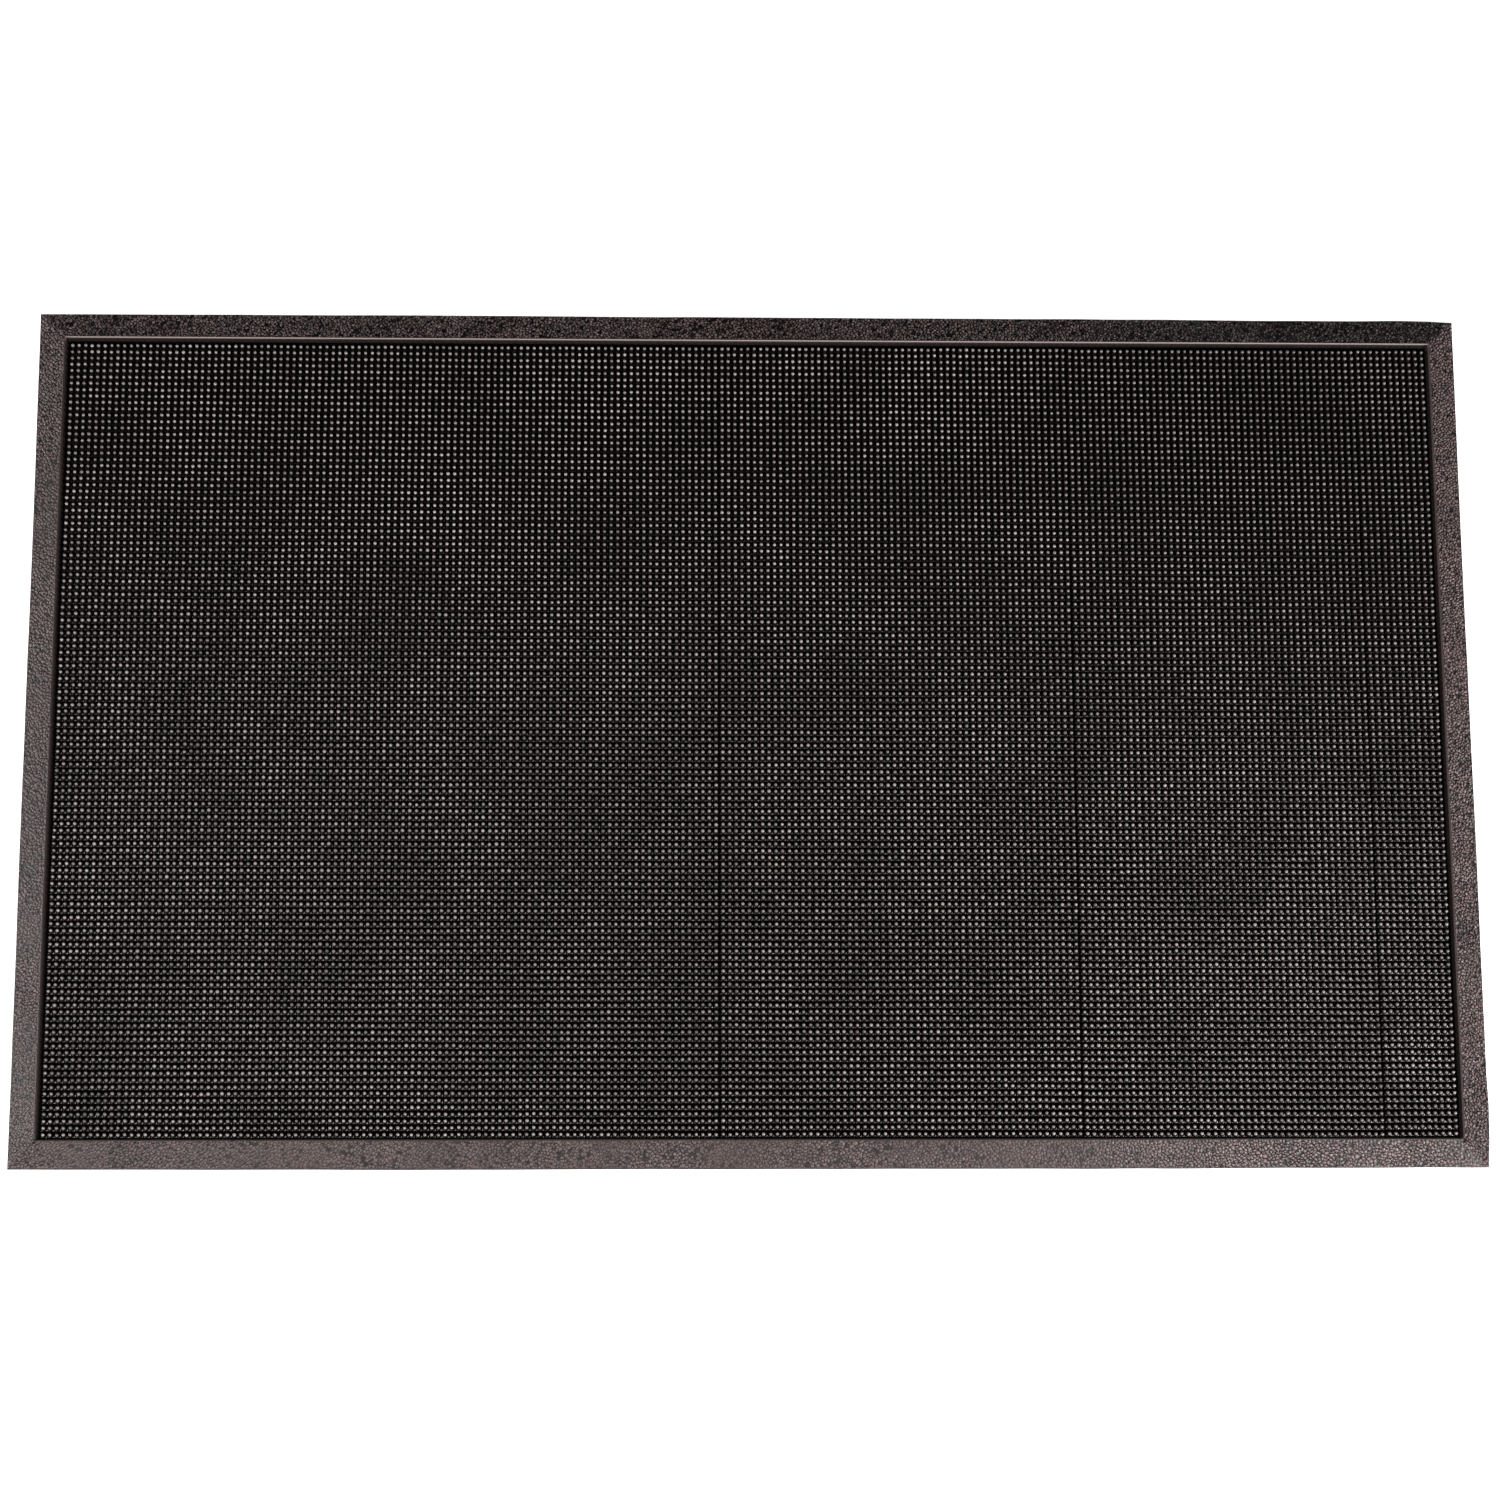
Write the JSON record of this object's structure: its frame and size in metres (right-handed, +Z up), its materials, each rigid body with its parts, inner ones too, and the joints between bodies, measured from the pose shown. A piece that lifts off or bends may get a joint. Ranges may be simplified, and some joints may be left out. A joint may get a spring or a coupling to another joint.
{
  "type": "scraper door mat",
  "caption": "Rectangular rubber scraper mat: a field of short rubber fingers framed by a low ramped edging with mitred corners.",
  "frame": {"origin": "middle of the underside, on the floor", "axes": "+X along the long side, +Y to the back edging, +Z up from the floor"},
  "size_m": [0.762, 0.4572, 0.0072],
  "materials": {
    "finger_rubber": "moulded black rubber, satin on the fingers",
    "edging_rubber": "moulded black rubber with a fine pebble grain, matt to satin"
  },
  "bodies": {
    "root": {"finger_panel": "finger_rubber", "front_edging": "edging_rubber", "back_edging": "edging_rubber", "left_edging": "edging_rubber", "right_edging": "edging_rubber"}
  },
  "joints": []
}
